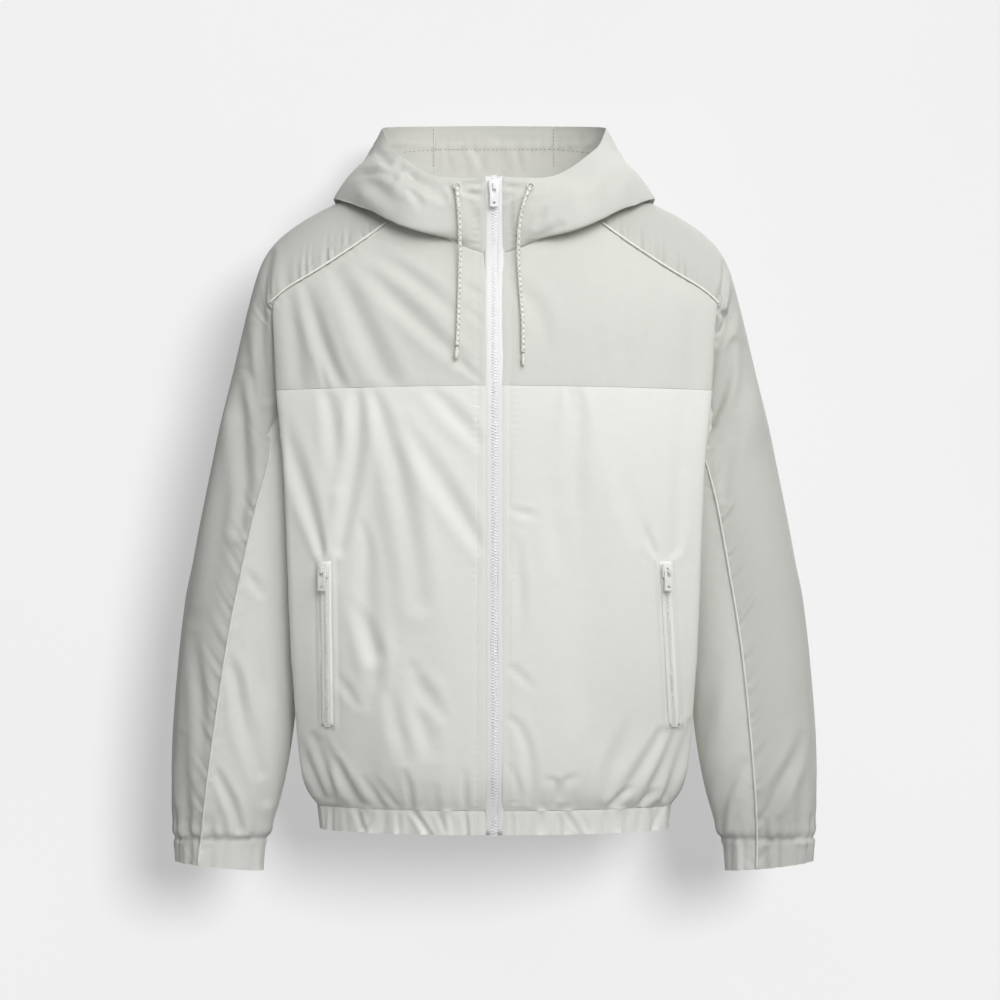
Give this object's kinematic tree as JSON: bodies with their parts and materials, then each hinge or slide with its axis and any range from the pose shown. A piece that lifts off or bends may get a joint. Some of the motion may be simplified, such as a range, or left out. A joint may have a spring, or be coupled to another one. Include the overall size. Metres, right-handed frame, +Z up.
{
  "type": "hooded windbreaker jacket",
  "caption": "Hollow hooded zip-front windbreaker in two light tones, with raglan sleeves, piped seams, zipped pockets, drawcords, and an elastic hem and cuffs.",
  "frame": {"origin": "between the shoulders, at the height where the jacket rests on them, midway between front and back at the sides", "axes": "+Z up; -Y the front, where the zip is; +X to the right of someone facing the jacket"},
  "size_m": [0.6695, 0.2942, 0.7823],
  "materials": {
    "back_lower": "matt woven shell cloth, off-white",
    "back_yoke": "matt woven shell cloth, light grey",
    "cord_left": "braided cord, speckled grey and white",
    "cord_right": "braided cord, speckled grey and white",
    "cord_tip_left": "dipped cord tip",
    "cord_tip_right": "dipped cord tip",
    "eyelet_left": "painted eyelet",
    "eyelet_right": "painted eyelet",
    "front_lower_left": "matt woven shell cloth, off-white",
    "front_lower_right": "matt woven shell cloth, off-white",
    "front_yoke_left": "matt woven shell cloth, light grey",
    "front_yoke_right": "matt woven shell cloth, light grey",
    "hem_band_back": "matt woven shell cloth, off-white",
    "hem_band_left": "matt woven shell cloth, off-white",
    "hem_band_right": "matt woven shell cloth, off-white",
    "hood_centre": "matt woven shell cloth, light grey",
    "hood_left": "matt woven shell cloth, light grey",
    "hood_right": "matt woven shell cloth, light grey",
    "piping_raglan_left": "white corded piping",
    "piping_raglan_right": "white corded piping",
    "piping_sleeve_left": "white corded piping",
    "piping_sleeve_right": "white corded piping",
    "pocket_pull_left": "white moulded zip part",
    "pocket_pull_right": "white moulded zip part",
    "pocket_slider_left": "white moulded zip part",
    "pocket_slider_right": "white moulded zip part",
    "pocket_tape_left": "woven zip tape",
    "pocket_tape_right": "woven zip tape",
    "pocket_teeth_left": "white moulded zip part",
    "pocket_teeth_right": "white moulded zip part",
    "sleeve_top_left": "matt woven shell cloth, light grey",
    "sleeve_top_right": "matt woven shell cloth, light grey",
    "sleeve_under_left": "matt woven shell cloth, off-white",
    "sleeve_under_right": "matt woven shell cloth, off-white",
    "zip_pull": "white moulded zip part",
    "zip_slider": "white moulded zip part",
    "zip_tape_left": "woven zip tape",
    "zip_tape_right": "woven zip tape",
    "zip_teeth": "white moulded zip part"
  },
  "bodies": {
    "jacket": {"back_lower": "back_lower", "back_yoke": "back_yoke", "cord_left": "cord_left", "cord_right": "cord_right", "cord_tip_left": "cord_tip_left", "cord_tip_right": "cord_tip_right", "eyelet_left": "eyelet_left", "eyelet_right": "eyelet_right", "front_lower_left": "front_lower_left", "front_lower_right": "front_lower_right", "front_yoke_left": "front_yoke_left", "front_yoke_right": "front_yoke_right", "hem_band_back": "hem_band_back", "hem_band_left": "hem_band_left", "hem_band_right": "hem_band_right", "hood_centre": "hood_centre", "hood_left": "hood_left", "hood_right": "hood_right", "piping_raglan_left": "piping_raglan_left", "piping_raglan_right": "piping_raglan_right", "piping_sleeve_left": "piping_sleeve_left", "piping_sleeve_right": "piping_sleeve_right", "pocket_slider_left": "pocket_slider_left", "pocket_slider_right": "pocket_slider_right", "pocket_tape_left": "pocket_tape_left", "pocket_tape_right": "pocket_tape_right", "pocket_teeth_left": "pocket_teeth_left", "pocket_teeth_right": "pocket_teeth_right", "sleeve_top_left": "sleeve_top_left", "sleeve_top_right": "sleeve_top_right", "sleeve_under_left": "sleeve_under_left", "sleeve_under_right": "sleeve_under_right", "zip_slider": "zip_slider", "zip_tape_left": "zip_tape_left", "zip_tape_right": "zip_tape_right", "zip_teeth": "zip_teeth"},
    "zip_pull_tab": {"zip_pull": "zip_pull"},
    "pocket_pull_left_tab": {"pocket_pull_left": "pocket_pull_left"},
    "pocket_pull_right_tab": {"pocket_pull_right": "pocket_pull_right"}
  },
  "joints": [
    {"name": "zip_pull_swing", "type": "hinge", "parent": "jacket", "child": "zip_pull_tab", "pos_m": [0, -0.09003, 0.02265], "axis": [-1, 0, 0], "range_deg": [0, 165]},
    {"name": "pocket_pull_left_swing", "type": "hinge", "parent": "jacket", "child": "pocket_pull_left_tab", "pos_m": [-0.1746, -0.11085, -0.36808], "axis": [-0.9157, 0.402, 0], "range_deg": [0, 165]},
    {"name": "pocket_pull_right_swing", "type": "hinge", "parent": "jacket", "child": "pocket_pull_right_tab", "pos_m": [0.1769, -0.10889, -0.36808], "axis": [-0.9342, -0.3566, 0], "range_deg": [0, 165]}
  ]
}
